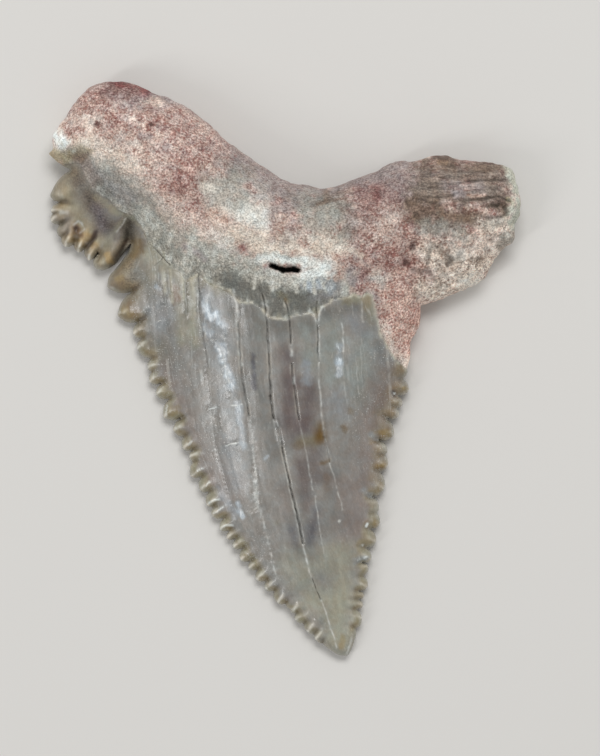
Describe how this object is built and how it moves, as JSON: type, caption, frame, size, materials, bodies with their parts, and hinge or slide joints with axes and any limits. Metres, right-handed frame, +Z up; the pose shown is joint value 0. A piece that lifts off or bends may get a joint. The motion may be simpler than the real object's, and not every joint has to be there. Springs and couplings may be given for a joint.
{
  "type": "fossil shark tooth",
  "caption": "Fossil shark tooth with a broad triangular crown, coarse serrations, a side cusplet and a two-lobed root, lying on its flat face.",
  "frame": {"origin": "centre of the tooth's plan at the plane of its flat labial face, which rests on the surface", "axes": "+Y from the crown tip to the root, +X towards the shorter, broken root lobe, +Z up through the domed lingual face"},
  "size_m": [0.0378, 0.046, 0.008],
  "materials": {
    "tooth": "glossy gray-mauve enamel with amber serrations on the crown, matt sandy pink-red root"
  },
  "bodies": {
    "root": {"tooth": "tooth"}
  },
  "joints": []
}
